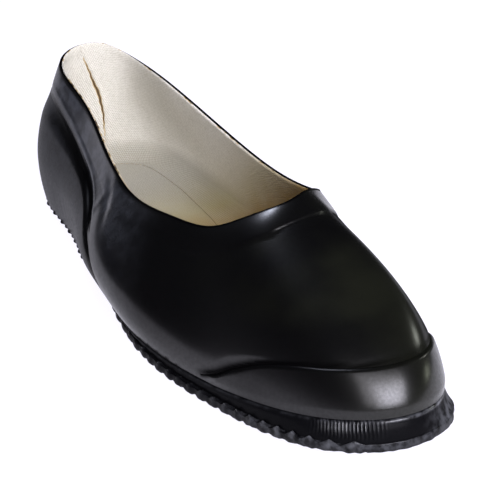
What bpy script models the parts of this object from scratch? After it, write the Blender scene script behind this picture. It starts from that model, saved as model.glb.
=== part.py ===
"""Low slip-on rubber shoe for the right foot, as its separate rubber pieces.

Tables and named sizes are in millimetres, and the finished objects in metres.
X runs from heel to toe, Y to the inner side of the foot and Z up from the floor.

The upper's wall is one surface. Round the shoe it follows smooth closed curves through the rows of
WALL_TABLE. At each place round the shoe a cubic profile rises from the feather line, where the upper
meets the sole, to the collar. Upper, toe cap, counter and foxing are all cut from that surface.
"""
import bmesh
import bpy
import numpy as np

MM = 0.001
OBJECT_NAME = "rubber_shoe"

# Driving sizes of the last
LENGTH = 282.0
BALL_WIDTH = 90.0
HEEL_HEIGHT = 70.8
INSTEP_HEIGHT = 66.5

# The frame's origin, measured from the heel's rear and the last's centre line
ORIGIN_X = 141.99
ORIGIN_Y = -4.686

# Fit between pieces
GAP = 0.3
OVERLAY_GAP = 0.4

# Thickness of the rubber
WALL = 2.0
BAND_STEP = 0.6
CAP_THICKNESS = 1.1
COUNTER_THICKNESS = 1.1
FOXING_THICKNESS = 1.6
OVERLAY_EDGE = 0.5
INSOLE_THICKNESS = 2.5
INSOLE_CLEARANCE = 0.9
INSOLE_STATIONS = 37

# Collar band: a strip of the wall that is thicker, just under the collar
BAND_WIDTH = 11.0
BAND_SLOPE = 0.8
BAND_MARGIN = 1.8
RIM_CROWN = 0.6

# Heights of the feather line over the floor
HEEL_SEAT = 8.0
ARCH_SEAT = 11.5
BALL_SEAT = 4.6
HEEL_SEAT_END = 0.21 * LENGTH
ARCH_START = 0.355 * LENGTH
ARCH_END = 0.40 * LENGTH
BALL_START = 0.575 * LENGTH

# Toe spring: the forefoot lifts off the floor from here to the toe
SPRING_START = 0.73 * LENGTH
SPRING_END = LENGTH
TOE_SPRING = 6.0

# Outsole plate and heel block, with the roll of their edges in millimetres and in shares of the edge
HEEL_BREAST = 0.305 * LENGTH
SHANK_START = 0.355 * LENGTH
TREAD_START = 0.41 * LENGTH
HEEL_BLOCK = 4.6
PLATE_THICKNESS = 4.6
TREAD_RIBS = 24
TREAD_DEPTH = 2.0
HEEL_RIBS = 15
HEEL_TREAD_DEPTH = 1.5
SCALLOP = 0.8
EDGE_ROLL = 0.8
EDGE_FLAT = 3.2
EDGE_LIP = 0.5
EDGE_ROOM = 0.4
ROLL_HEIGHT = 0.3
MIDDLE_HEIGHT = 0.55
END_FLAT = 0.35
TREAD_END = 4.0
HEEL_TREAD_END = 2.4

# Reach of the sole beyond the feather line, against the share of the length
SOLE_REACH = ((0, 1.9), (0.05, 1.5), (0.12, 1.2), (0.22, 1.3), (0.28, 1.0), (0.36, -2.0), (0.42, -0.8),
              (0.47, 0.6), (0.53, 1.4), (0.62, 2.7), (0.75, 3.2), (0.9, 2.6), (1, 2.1))

# Stations of a plain stretch: close together where the outline turns, then wider
END_RUN = (0, 0.6, 1.6, 3.5, 6.5, 11, 18, 28, 42, 56, 68)
SHANK_STATIONS = 5

# One rib: its place along the pitch, with 1 on the crest and 0 in the groove
RIB_PROFILE = ((0.0, 0), (0.22, 0), (0.40, 1), (0.84, 1))

# Rows round the shoe, each with its place on the feather line and on the collar, the rise and bulge of
# the wall as it leaves the feather line, and its reach and drop as it leaves the collar. X is in percent
# of the length, Y of the ball width and Z of the line from heel height to instep height.
WALL_COLUMNS = ("foot_x", "foot_y", "collar_x", "collar_y", "collar_z", "rise", "bulge", "reach", "drop")
WALL_TABLE = (
    ("heel_back", 1.8, 1, 2.1, 0, 100, 20, 6, 1, 18),
    ("heel_corner_outer", 4.3, -29, 4.7, -21, 96, 17, 9, 7, 19),
    ("heel_outer", 17.7, -34.5, 17, -24.5, 88, 16, 9, 8, 18),
    ("shank_outer", 33.3, -44.5, 31.2, -31, 76, 13.5, 13.5, 3.5, 19),
    ("waist_outer", 48.6, -51.5, 43.6, -33.5, 71, 16, 17, 14.5, 8.5),
    ("tread_outer", 64.5, -50, 53.5, -30, 75.5, 17, 9, 15, 15),
    ("ball_outer", 78.7, -40, 60.8, -22, 79.5, 16, 4, 20, 17),
    ("toe_outer", 92.2, -25.5, 65.4, -10, 91, 22.5, -2.8, 35, 15),
    ("toe_tip", 100, 4.5, 67.3, 6.5, 100, 33, 2, 50, 18),
    ("toe_inner", 95, 35.5, 64.9, 21, 98.5, 39, 0, 27, 19),
    ("ball_inner", 81.2, 45.5, 61.7, 32, 88.5, 26, 4, 10, 20),
    ("tread_inner", 65.6, 43.5, 55, 36.5, 77.5, 20, 4, 6, 19),
    ("waist_inner", 50, 35.5, 44.3, 36.5, 71, 18, 8, 4, 17),
    ("shank_inner", 34.4, 34.5, 31.2, 32, 76, 16, 6, 4, 16),
    ("heel_inner", 19.1, 35.5, 17, 24.5, 87, 18, 6, 3, 18),
    ("heel_corner_inner", 6.2, 28, 5.3, 18.5, 91, 19, 6, 1, 19),
)
ROW_COUNT = len(WALL_TABLE)
TOE_ROW = ROW_COUNT / 2

# Height of each overlay's edge up the wall, against the rows from the toe tip or from the heel back
FOXING_LINE = ((0, 8.5), (1, 7.5), (1.7, 6), (2.4, 4.2), (3.2, 2.6), (3.8, 2))
CAP_LINE = ((0, 28.3), (0.5, 28.5), (0.9, 28), (1.3, 25), (1.75, 17.7), (2.15, 9.5), (2.4, 6.5))
COUNTER_LINE = ((0, 51), (0.9, 51), (1.3, 49.5), (1.8, 43), (2.2, 37.5), (2.6, 31.5), (3, 25.5), (3.4, 21.5),
                (3.75, 18), (3.95, 11), (4.05, 6))
COUNTER_INNER_SHARE = 0.88
FOXING_HALF = 3.75
CAP_HALF = 2.35
COUNTER_HALF = 4.0
CAP_GAP = 0.5

# Grid of the wall: columns round the shoe and steps between the lines up it
COLUMNS = 88
ROW_STEP = 0.02
STEPS_FOXING = 2
STEPS_OVERLAY = 5
STEPS_QUARTER = 5
STEPS_BAND = 2
STEPS_INSIDE = 10


def smooth_step(value, start, end):
    """Zero before start, one after end and a smooth ramp between them."""
    t = np.clip((value - start) / (end - start), 0, 1)
    return t * t * (3 - 2 * t)


def smooth_line(points, x):
    """Smooth curve through a short table of places and values, level past both its ends."""
    places, values = np.array(points, float).T
    slopes = np.gradient(values, places)
    slopes[[0, -1]] = 0
    x = np.clip(x, places[0], places[-1])
    k = np.clip(np.searchsorted(places, x) - 1, 0, len(places) - 2)
    span = places[k + 1] - places[k]
    t = (x - places[k]) / span
    rise = (values[k + 1] - values[k]) * t * t * (3 - 2 * t)
    return values[k] + rise + span * t * (1 - t) * (slopes[k] * (1 - t) - slopes[k + 1] * t)


def toe_spring(x):
    """Height of the sole's walking face over the floor in the forefoot."""
    return TOE_SPRING * np.clip((x - SPRING_START) / (SPRING_END - SPRING_START), 0, None) ** 2


def seat_height(x):
    """Height of the feather line over the floor."""
    arch = (ARCH_SEAT - HEEL_SEAT) * smooth_step(x, HEEL_SEAT_END, ARCH_START)
    ball = (BALL_SEAT - ARCH_SEAT) * smooth_step(x, ARCH_END, BALL_START)
    return HEEL_SEAT + arch + ball + toe_spring(x)


# The surface of the wall

def wall_values():
    """The table in millimetres."""
    values = np.array([row[1:] for row in WALL_TABLE], float)
    from_heel = 1 - np.abs(1 - np.arange(ROW_COUNT) / TOE_ROW)
    level = HEEL_HEIGHT + (INSTEP_HEIGHT - HEEL_HEIGHT) * from_heel
    values[:, [0, 2]] *= LENGTH / 100
    values[:, [1, 3]] *= BALL_WIDTH / 100
    values[:, 4] *= level / 100
    return values


WALL_VALUES = wall_values()
NEXT_ROW = np.roll(np.eye(ROW_COUNT), 1, 0)
WALL_SLOPES = np.linalg.solve(
    4 * np.eye(ROW_COUNT) + NEXT_ROW + NEXT_ROW.T,
    3 * (np.roll(WALL_VALUES, -1, 0) - np.roll(WALL_VALUES, 1, 0)),
)


def wall_sizes(row):
    """The table's columns at any place round the shoe, from a smooth closed curve through its rows."""
    k = np.floor(row).astype(int)
    t = (row - k)[:, None]
    here, ahead = k % ROW_COUNT, (k + 1) % ROW_COUNT
    blend = WALL_VALUES[here] + (WALL_VALUES[ahead] - WALL_VALUES[here]) * t * t * (3 - 2 * t)
    bend = WALL_SLOPES[here] * (1 - t) - WALL_SLOPES[ahead] * t
    sizes = blend + t * (1 - t) * bend
    return dict(zip(WALL_COLUMNS, sizes.T))


def loop_outward(row, column):
    """Outward direction of the feather line or the collar at each place."""
    before, after = wall_sizes(row - ROW_STEP), wall_sizes(row + ROW_STEP)
    along_x = after[column + "_x"] - before[column + "_x"]
    along_y = after[column + "_y"] - before[column + "_y"]
    length = np.hypot(along_x, along_y)
    return along_y / length, -along_x / length


def wall_controls(row):
    """The four control points of the wall's profile at each place round the shoe."""
    s = wall_sizes(row)
    foot = np.array([s["foot_x"], s["foot_y"], seat_height(s["foot_x"])])
    collar = np.array([s["collar_x"], s["collar_y"], s["collar_z"]])
    foot_out_x, foot_out_y = loop_outward(row, "foot")
    collar_out_x, collar_out_y = loop_outward(row, "collar")
    leave = np.array([s["bulge"] * foot_out_x, s["bulge"] * foot_out_y, s["rise"]])
    arrive = np.array([s["reach"] * collar_out_x, s["reach"] * collar_out_y, -s["drop"]])
    return [p.T[:, None] for p in (foot, foot + leave, collar + arrive, collar)]


def wall(row, share, offset=0.0):
    """Points of the wall: share runs from 0 at the feather line to 1 at the collar."""
    v = share[..., None]

    def surface(place):
        foot, low, high, collar = wall_controls(place)
        w = 1 - v
        return w ** 3 * foot + 3 * w ** 2 * v * low + 3 * w * v ** 2 * high + v ** 3 * collar

    foot, low, high, collar = wall_controls(row)
    up = (1 - v) ** 2 * (low - foot) + 2 * (1 - v) * v * (high - low) + v ** 2 * (collar - high)
    normal = np.cross(surface(row + ROW_STEP) - surface(row - ROW_STEP), up)
    normal /= np.linalg.norm(normal, axis=2)[..., None]
    return surface(row) + normal * np.broadcast_to(offset, share.shape)[..., None]


def share_at(row, height=None, below_collar=None):
    """Share up the wall at a height along it, or at a distance along it under the collar."""
    fine = np.linspace(0, 1, 61)
    points = wall(row, np.tile(fine, (len(row), 1)))
    lengths = np.linalg.norm(np.diff(points, axis=1), axis=2)
    lengths = np.hstack([np.zeros((len(row), 1)), np.cumsum(lengths, axis=1)])
    if below_collar is not None:
        height = lengths[:, -1] - below_collar
    height = np.broadcast_to(height, len(row))
    return np.array([np.interp(h, run, fine) for h, run in zip(height, lengths)])


def rows_from_toe(row):
    """Rows between a place and the toe tip."""
    return np.abs(row - TOE_ROW)


def rows_from_heel(row):
    """Rows between a place and the heel back, drawn out on the inner side, where the counter is shorter."""
    return np.where(row < TOE_ROW, row, (ROW_COUNT - row) / COUNTER_INNER_SHARE)


def wall_grid(row):
    """Shares of the wall's lines: feather, foxing edge, overlay start and edge, band, collar."""
    foxing = smooth_line(FOXING_LINE, rows_from_toe(row))
    cap = smooth_line(CAP_LINE, rows_from_toe(row))
    counter = smooth_line(COUNTER_LINE, rows_from_heel(row))
    edge = np.maximum(np.maximum(cap, counter), foxing + 2 * CAP_GAP)
    under_band = share_at(row, below_collar=BAND_WIDTH + BAND_SLOPE + BAND_MARGIN)
    lines = [
        (share_at(row, height=foxing), STEPS_FOXING),
        (share_at(row, height=foxing + CAP_GAP), 1),
        (np.minimum(share_at(row, height=edge), under_band), STEPS_OVERLAY),
        (share_at(row, below_collar=BAND_WIDTH + BAND_SLOPE), STEPS_QUARTER),
        (share_at(row, below_collar=BAND_WIDTH), 1),
        (np.ones(len(row)), STEPS_BAND),
    ]
    shares = [np.zeros(len(row))]
    for line, steps in lines:
        start = shares[-1]
        for step in range(1, steps + 1):
            shares.append(start + (line - start) * step / steps)
    return np.array(shares).T


ROW = np.arange(COLUMNS) * ROW_COUNT / COLUMNS
SHARES = wall_grid(ROW)
FOXING_LEVEL = STEPS_FOXING
CAP_LEVEL = FOXING_LEVEL + 1
EDGE_LEVEL = CAP_LEVEL + STEPS_OVERLAY
BAND_LEVEL = EDGE_LEVEL + STEPS_QUARTER + 1


# Meshes

def material(name, colour, roughness):
    """Plain rubber or cotton for one piece."""
    made = bpy.data.materials.new(name)
    made.use_nodes = True
    shader = made.node_tree.nodes["Principled BSDF"]
    shader.inputs["Base Color"].default_value = (*colour, 1.0)
    shader.inputs["Roughness"].default_value = roughness
    shader.inputs["Metallic"].default_value = 0.0
    return made


def loft(name, sections, closed, surface, collection, sharp_angle=0.6):
    """Solid through a run of like sections, closed into a ring or ended by a cap at each end."""
    mesh = bpy.data.meshes.new(name)
    build = bmesh.new()
    shift = np.array([ORIGIN_X, ORIGIN_Y, 0.0])
    rings = [[build.verts.new((point - shift) * MM) for point in section] for section in sections]
    following = rings[1:] + rings[:1] if closed else rings[1:]
    for ring, after in zip(rings, following):
        for k in range(len(ring)):
            step = (k + 1) % len(ring)
            build.faces.new((ring[k], ring[step], after[step], after[k]))
    # The same diagonal in every face keeps the gap between two pieces of the wall even
    bmesh.ops.triangulate(build, faces=build.faces, quad_method="FIXED")
    if not closed:
        build.faces.new(rings[0])
        build.faces.new(rings[-1])
    bmesh.ops.recalc_face_normals(build, faces=build.faces)
    build.to_mesh(mesh)
    build.free()
    mesh.shade_smooth()
    mesh.set_sharp_from_angle(angle=sharp_angle)
    mesh.materials.append(surface)
    piece = bpy.data.objects.new(name, mesh)
    collection.objects.link(piece)
    return piece


def make_upper(surface, collection):
    """Hollow upper: outer face with its collar band, rounded rim, inner face and an open underside."""
    raised = np.where(np.arange(SHARES.shape[1]) >= BAND_LEVEL, BAND_STEP, 0.0)
    outer = wall(ROW, SHARES, raised)
    inside = np.tile(np.linspace(1, 0, STEPS_INSIDE + 1), (COLUMNS, 1))
    inner = wall(ROW, inside, -WALL)
    rim = (outer[:, -1:] + inner[:, :1]) / 2
    rim[..., 2] += RIM_CROWN
    return loft("upper", np.concatenate([outer, rim, inner], axis=1), True, surface, collection)


def overlay(name, half, centre, first, last, thickness, surface, collection):
    """Strip of rubber on the wall between two of its lines, within so many rows of its centre."""
    away = (ROW - centre + TOE_ROW) % ROW_COUNT - TOE_ROW
    chosen = np.flatnonzero((away >= -half[0]) & (away <= half[1]))
    chosen = chosen[np.argsort(away[chosen])]
    row, share = ROW[chosen], SHARES[chosen, first:last + 1]
    face = np.full(share.shape[1], OVERLAY_GAP + thickness)
    face[-1] = OVERLAY_GAP + OVERLAY_EDGE
    back = wall(row, share, OVERLAY_GAP)
    front = wall(row, share, face)
    sections = np.concatenate([back, front[:, ::-1]], axis=1)
    sections[..., 2] = np.maximum(sections[..., 2], seat_height(sections[..., 0]))
    return loft(name, sections, False, surface, collection)


# Outlines of the sole

def outline(reach):
    """The feather line moved out by a reach, as an outer and an inner curve from heel to toe."""
    row = np.arange(0, ROW_COUNT, ROW_STEP)
    s = wall_sizes(row)
    out_x, out_y = loop_outward(row, "foot")
    beyond = smooth_line(reach, s["foot_x"] / LENGTH)
    x, y = s["foot_x"] + out_x * beyond, s["foot_y"] + out_y * beyond
    heel, toe = np.argmin(x), np.argmax(x)
    turn = np.roll(np.arange(len(x)), -heel)
    length = (toe - heel) % len(x)
    outer, inner = turn[:length + 1], np.append(turn[length:], turn[0])[::-1]
    return (x[outer], y[outer]), (x[inner], y[inner])


def outline_ends(edges):
    """First and last station of a piece, where its outline is just wide enough for a flat end."""
    return edges[0][0][0] + END_FLAT, edges[0][0][-1] - END_FLAT


def sides(edges, x):
    """Y of the outer and inner edge at a station."""
    (outer_x, outer_y), (inner_x, inner_y) = edges
    return np.interp(x, outer_x, outer_y), np.interp(x, inner_x, inner_y)


def sole_section(x, outer, inner, bottom, top):
    """One cross section of the sole: flat walking face, rolled edges, and a lip at the top."""
    room = EDGE_ROOM * (inner - outer)
    roll, flat, lip = (min(size, room) for size in (EDGE_ROLL, EDGE_FLAT, EDGE_LIP))
    middle = bottom + MIDDLE_HEIGHT * (top - bottom)
    rolled = bottom + ROLL_HEIGHT * (top - bottom)
    profile = (
        (outer, middle), (outer + roll, rolled), (outer + flat, bottom),
        (inner - flat, bottom), (inner - roll, rolled), (inner, middle),
        (inner - lip, top), (outer + lip, top),
    )
    return np.array([(x, y, z) for y, z in profile])


def rib_stations(start, end, count):
    """Stations along the tread, each with 1 on the crest of a rib and 0 in the groove between two."""
    pitch = (end - start) / count
    stations = [(start + pitch * (k + place), crest) for k in range(count) for place, crest in RIB_PROFILE]
    return stations + [(end, 0)]


def plate_bottom(x):
    """Walking face of the sole plate: over the heel block it lies on the block, then it follows the seat."""
    face = seat_height(x) - PLATE_THICKNESS
    over_heel = HEEL_BLOCK + GAP
    return over_heel + (face - over_heel) * smooth_step(x, HEEL_BREAST, SHANK_START)


def make_outsole(surface, collection):
    """Sole plate: heel seat, plain shank and ribbed forefoot with its toe spring."""
    edges = outline(SOLE_REACH)
    rear, front = outline_ends(edges)
    shank = np.linspace(HEEL_BREAST, TREAD_START, SHANK_STATIONS, endpoint=False)
    stations = [(rear + place, 1) for place in END_RUN] + [(x, 1) for x in shank]
    stations += rib_stations(TREAD_START, front - TREAD_END, TREAD_RIBS)
    stations += [(front - place, 1) for place in reversed(END_RUN[:3])]
    sections = []
    for x, crest in stations:
        outer, inner = sides(edges, x)
        scallop = (1 - crest) * SCALLOP
        bottom = plate_bottom(x) + (1 - crest) * TREAD_DEPTH
        top = seat_height(x) - GAP
        sections.append(sole_section(x, outer + scallop, inner - scallop, bottom, top))
    return loft("outsole", np.array(sections), False, surface, collection)


def make_heel(surface, collection):
    """Low heel block with fine cross ribs, ending in a straight breast."""
    edges = outline(SOLE_REACH)
    rear, _ = outline_ends(edges)
    ends = END_RUN[:3]
    stations = [(rear + place, 1) for place in ends]
    stations += rib_stations(rear + HEEL_TREAD_END, HEEL_BREAST - HEEL_TREAD_END, HEEL_RIBS)
    stations += [(HEEL_BREAST - place, 1) for place in reversed(ends)]
    sections = []
    for x, crest in stations:
        outer, inner = sides(edges, x)
        scallop = (1 - crest) * SCALLOP
        bottom = (1 - crest) * HEEL_TREAD_DEPTH
        sections.append(sole_section(x, outer + scallop, inner - scallop, bottom, HEEL_BLOCK))
    return loft("heel", np.array(sections), False, surface, collection)


def make_insole(surface, collection):
    """Inner sole on the plate, inside the wall."""
    inset = WALL + INSOLE_CLEARANCE
    edges = outline(((0, -inset), (1, -inset)))
    rear, front = outline_ends(edges)
    turn = np.linspace(0, np.pi, INSOLE_STATIONS)
    sections = []
    for x in (rear + front) / 2 - (front - rear) / 2 * np.cos(turn):
        outer, inner = sides(edges, x)
        bottom = seat_height(x)
        top = bottom + INSOLE_THICKNESS
        profile = ((outer, bottom), (inner, bottom), (inner, top), (outer, top))
        sections.append([(x, y, z) for y, z in profile])
    return loft("insole", np.array(sections), False, surface, collection)


def main():
    """Builds every piece of the shoe in its own collection."""
    for old in list(bpy.data.objects):
        bpy.data.objects.remove(old, do_unlink=True)
    collection = bpy.data.collections.new(OBJECT_NAME)
    bpy.context.scene.collection.children.link(collection)
    black = (0.012, 0.012, 0.014)
    upper_rubber = material("upper_rubber", black, 0.28)
    sole_rubber = material("sole_rubber", (0.014, 0.014, 0.017), 0.42)
    cotton = material("cotton", (0.56, 0.50, 0.40), 0.9)
    make_upper(upper_rubber, collection)
    make_outsole(sole_rubber, collection)
    make_heel(sole_rubber, collection)
    make_insole(cotton, collection)
    overlay("foxing", (FOXING_HALF, FOXING_HALF), TOE_ROW, 0, FOXING_LEVEL,
            FOXING_THICKNESS, sole_rubber, collection)
    overlay("toe_cap", (CAP_HALF, CAP_HALF), TOE_ROW, CAP_LEVEL, EDGE_LEVEL,
            CAP_THICKNESS, upper_rubber, collection)
    overlay("counter", (COUNTER_HALF * COUNTER_INNER_SHARE, COUNTER_HALF), 0, 0, EDGE_LEVEL,
            COUNTER_THICKNESS, upper_rubber, collection)


main()
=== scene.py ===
"""Looks of a low slip-on rubber shoe for the right foot, laid out as an add-on that dresses its fixed frame.

Sizes are in metres, and short tables say where they hold millimetres or percent. X runs from heel to toe,
Y to the inner side of the foot and Z up from the floor. The wall is one surface: round the shoe it follows
smooth closed curves through the rows of WALL_TABLE, and at each place a cubic profile rises from the
feather line, where the upper meets the sole, to the collar.
"""

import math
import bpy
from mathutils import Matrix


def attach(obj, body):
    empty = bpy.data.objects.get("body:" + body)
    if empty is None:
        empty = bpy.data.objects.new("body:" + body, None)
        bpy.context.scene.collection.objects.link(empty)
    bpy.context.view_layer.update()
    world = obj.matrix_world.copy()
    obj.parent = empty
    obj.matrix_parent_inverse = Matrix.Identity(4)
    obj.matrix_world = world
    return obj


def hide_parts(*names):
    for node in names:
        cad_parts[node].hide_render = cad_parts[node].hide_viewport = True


bl_info = {
    "name": "Rubber Shoe",
    "version": (1, 0, 0),
    "blender": (4, 5, 0),
    "location": "View3D > Sidebar > Shoe",
    "description": "Dresses the frame of a low rubber shoe with its wall, lining, sole and stage",
    "category": "Object",
}

import bmesh
import bpy
import numpy as np
from bpy.props import FloatProperty, FloatVectorProperty, IntProperty, PointerProperty
from mathutils import Matrix, Vector

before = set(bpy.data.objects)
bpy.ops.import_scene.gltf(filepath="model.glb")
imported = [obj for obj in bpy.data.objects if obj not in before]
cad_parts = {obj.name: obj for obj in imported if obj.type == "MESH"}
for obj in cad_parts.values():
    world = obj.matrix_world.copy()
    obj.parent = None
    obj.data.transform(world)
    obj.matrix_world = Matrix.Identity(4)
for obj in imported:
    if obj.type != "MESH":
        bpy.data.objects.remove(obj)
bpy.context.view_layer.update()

MM = 0.001
BODY = "root"

# Degrees between two faces from which the edge between them stays sharp
SHARP_RUBBER, SHARP_SOLE, SHARP_LINING, SHARP_INSOLE = 60, 50, 70, 60

# Pitch of the cotton's threads, and the height of its weave and of the rubber's grain
WARP_PITCH, WEFT_PITCH = 1.1 * MM, 0.9 * MM
WEAVE_RELIEF, GRAIN_RELIEF = 0.2 * MM, 0.12 * MM

# The frame's origin, from the heel's rear and the last's centre line
ORIGIN = np.array((141.99, -4.686, 0.0)) * MM

# Rows round the shoe: X in percent of the length, Y of the ball width and Z of the line from heel height
# to instep height, then the profile's rise and bulge at the feather line and its reach and drop at the
# collar, in millimetres
WALL_COLUMNS = ("foot_x", "foot_y", "collar_x", "collar_y", "collar_z", "rise", "bulge", "reach", "drop")
WALL_TABLE = (
    ("heel_back", 1.8, 1, 2.1, 0, 100, 20, 6, 1, 18),
    ("heel_corner_outer", 4.3, -29, 4.7, -21, 96, 17, 9, 7, 19),
    ("heel_outer", 17.7, -34.5, 17, -24.5, 88, 16, 9, 8, 18),
    ("shank_outer", 33.3, -44.5, 31.2, -31, 76, 13.5, 13.5, 3.5, 19),
    ("waist_outer", 48.6, -51.5, 43.6, -33.5, 71, 16, 17, 14.5, 8.5),
    ("tread_outer", 64.5, -50, 53.5, -30, 75.5, 17, 9, 15, 15),
    ("ball_outer", 78.7, -40, 60.8, -22, 79.5, 16, 4, 20, 17),
    ("toe_outer", 92.2, -25.5, 65.4, -10, 91, 22.5, -2.8, 35, 15),
    ("toe_tip", 100, 4.5, 67.3, 6.5, 100, 33, 2, 50, 18),
    ("toe_inner", 95, 35.5, 64.9, 21, 98.5, 39, 0, 27, 19),
    ("ball_inner", 81.2, 45.5, 61.7, 32, 88.5, 26, 4, 10, 20),
    ("tread_inner", 65.6, 43.5, 55, 36.5, 77.5, 20, 4, 6, 19),
    ("waist_inner", 50, 35.5, 44.3, 36.5, 71, 18, 8, 4, 17),
    ("shank_inner", 34.4, 34.5, 31.2, 32, 76, 16, 6, 4, 16),
    ("heel_inner", 19.1, 35.5, 17, 24.5, 87, 18, 6, 3, 18),
    ("heel_corner_inner", 6.2, 28, 5.3, 18.5, 91, 19, 6, 1, 19),
)
ROWS = len(WALL_TABLE)
TOE_ROW = ROWS / 2
ROW_STEP = 0.02
ROW_RUN = 42 * MM

# Height of each overlay's edge up the wall in millimetres, against rows from the toe tip or the heel back
FOXING_LINE = ((0, 8.5), (1, 7.5), (1.7, 6), (2.4, 4.2), (3.2, 2.6), (3.8, 2))
CAP_LINE = ((0, 28.3), (0.5, 28.5), (0.9, 28), (1.3, 25), (1.75, 17.7), (2.15, 9.5), (2.4, 6.5))
COUNTER_LINE = ((0, 51), (0.9, 51), (1.3, 49.5), (1.8, 43), (2.2, 37.5), (2.6, 31.5), (3, 25.5), (3.4, 21.5),
                (3.75, 18), (3.95, 11), (4.05, 6))
COUNTER_INNER_SHARE = 0.88
FOXING_HALF = 3.75
CAP_HALF = 2.35
COUNTER_HALF = 4.0
COUNTER_CLEAR = 13 * MM
EDGE_BLEND = 1.5 * MM

# Feather line over the floor, against the share of the length
HEEL_SEAT = 8.0 * MM
ARCH_SEAT = 11.5 * MM
BALL_SEAT = 4.6 * MM
HEEL_SEAT_END, ARCH_START, ARCH_END, BALL_START = 0.21, 0.355, 0.40, 0.575
SPRING_START = 0.73
TOE_SPRING = 6.0 * MM

# Sole: its parts along the shoe against the share of the length, and its reach past the feather line
HEEL_BREAST, SHANK_START, TREAD_START = 0.305, 0.355, 0.41
HEEL_BLOCK = 4.6 * MM
PLATE = 4.6 * MM
GAP = 0.3 * MM
SOLE_REACH = ((0, 1.9), (0.05, 1.5), (0.12, 1.2), (0.22, 1.3), (0.28, 1.0), (0.36, -2.0), (0.42, -0.8),
              (0.47, 0.6), (0.53, 1.4), (0.62, 2.7), (0.75, 3.2), (0.9, 2.6), (1, 2.1))

# Collar band against rows from the toe tip: its width in millimetres, and how plainly it stands off
BAND_LINE = ((0, 10.3), (0.35, 11.3), (0.65, 13), (1.6, 12.5), (4, 11), (8, 11))
BAND_SHOW = ((0, 0.7), (0.4, 1), (1.2, 0.9), (2.4, 0.4), (3.6, 0.15), (5.5, 0.1), (8, 0.1))

# Groove in front of the counter: its depth in millimetres against rows from the heel back, its middle and
# least width in front of the counter's edge, and the ways under the collar over which it comes in
GROOVE_DEPTH = ((0.6, 0), (1, 0.05), (1.4, 0.12), (1.9, 0.28), (2.4, 0.6), (2.9, 1.1), (3.2, 0.9),
                (3.45, 0.35), (3.7, 0))
GROOVE_MIDDLE, GROOVE_WIDTH = 1.6 * MM, 0.8 * MM
GROOVE_START = (9 * MM, 14 * MM)

# Low ridge in front of the groove, and the rows from the heel back between which it shows
RIDGE_MIDDLE, RIDGE_WIDTH, RIDGE_HEIGHT = 4.4 * MM, 1.6 * MM, 0.18 * MM
RIDGE_ROWS = (0.7, 1.4, 3.0, 3.6)

# Rows of the forefoot's inner side, and rows from the toe tip over which the cap's groove runs out
INNER_ROWS = (7.0, 8.8, 11.5, 13.5)
CAP_GROOVE_END = (2.2, 2.5)

# Lip of the sole round the toe, which ends in a point at the inner corner: its reach in millimetres past the
# sole's own, against rows
LIP_LINE = ((6.6, 0), (7.3, 1.1), (8.2, 1.2), (8.85, 1.5), (9.05, 1.4), (9.4, -0.4), (9.8, -0.7), (11, 0))
LIP_POINT_ROWS = (8.2, 8.9, 9.1, 9.5)

# Soft creases of the wall: place in rows, height in millimetres, turn in degrees, then length, width and
# height of the ridge in millimetres, with a trough below zero
CREASES = (
    ("collar_dent", 3.5, 38, -24, 30, 8, -0.5),
    ("quarter_swell", 3.3, 33, 66, 22, 5, 0.25),
    ("waist_dent", 4.3, 33, -10, 28, 10, -0.4),
    ("inner_dent", 12.6, 32, 14, 26, 9, -0.35),
    ("inner_swell", 13.2, 28, -58, 20, 7, 0.35),
)

# Seam down the heel of the lining: rows from the heel back against millimetres under the collar
BACK_SEAM = ((0, 0.29), (9, 0.155), (17, 0.03), (25, -0.08), (32, -0.13), (40, -0.14), (60, -0.12))


def smooth_step(value, start, end):
    """Zero before start, one after end and a smooth ramp between them."""
    t = np.clip((value - start) / (end - start), 0, 1)
    return t * t * (3 - 2 * t)


def fall(value, start, end):
    """One before start, zero after end and a smooth ramp between them."""
    return 1 - smooth_step(value, start, end)


def span(value, start, full, fade, end):
    """One from full to fade, with a smooth ramp from start and another to end."""
    return smooth_step(value, start, full) * fall(value, fade, end)


def bell(value, centre, width):
    """One at the centre, falling off softly to both sides."""
    return np.exp(-((value - centre) / width) ** 2)


def smooth_line(points, x):
    """Smooth curve through a short table of places and values, level past both its ends."""
    places, values = np.array(points, float).T
    slopes = np.gradient(values, places)
    slopes[[0, -1]] = 0
    x = np.clip(x, places[0], places[-1])
    k = np.clip(np.searchsorted(places, x) - 1, 0, len(places) - 2)
    span = places[k + 1] - places[k]
    t = (x - places[k]) / span
    rise = (values[k + 1] - values[k]) * t * t * (3 - 2 * t)
    return values[k] + rise + span * t * (1 - t) * (slopes[k] * (1 - t) - slopes[k + 1] * t)


def way(points, axis=0):
    """Distance of each point along its run, from the first one."""
    first = np.take(points, [0], axis)
    return np.cumsum(np.linalg.norm(np.diff(points, axis=axis, prepend=first), axis=-1), axis=axis)


def soft_path(points, count):
    """Smooth run of count points through the given ones, which lie along the second axis."""
    n = points.shape[1]
    at = np.linspace(0, n - 1, count)
    k = np.clip(at.astype(int), 0, n - 2)
    t = (at - k)[None, :, None]
    before, ahead = points[:, np.maximum(k - 1, 0)], points[:, np.minimum(k + 2, n - 1)]
    here, after = points[:, k], points[:, k + 1]
    bend = (2 * before - 5 * here + 4 * after - ahead) * t + 3 * (here - after) * t * t
    return here + 0.5 * t * (after - before + bend + (ahead - before) * t * t)


# Sizes and colours that a user may change

def measure_property(name, description, default, unit="LENGTH"):
    """A size, an angle or a power that a user may change."""
    return FloatProperty(name=name, description=description, default=default, unit=unit)


def colour_property(name, description, default):
    """A colour that a user may change."""
    return FloatVectorProperty(name=name, description=description, default=default,
                               subtype="COLOR", size=3, min=0, max=1)


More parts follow.
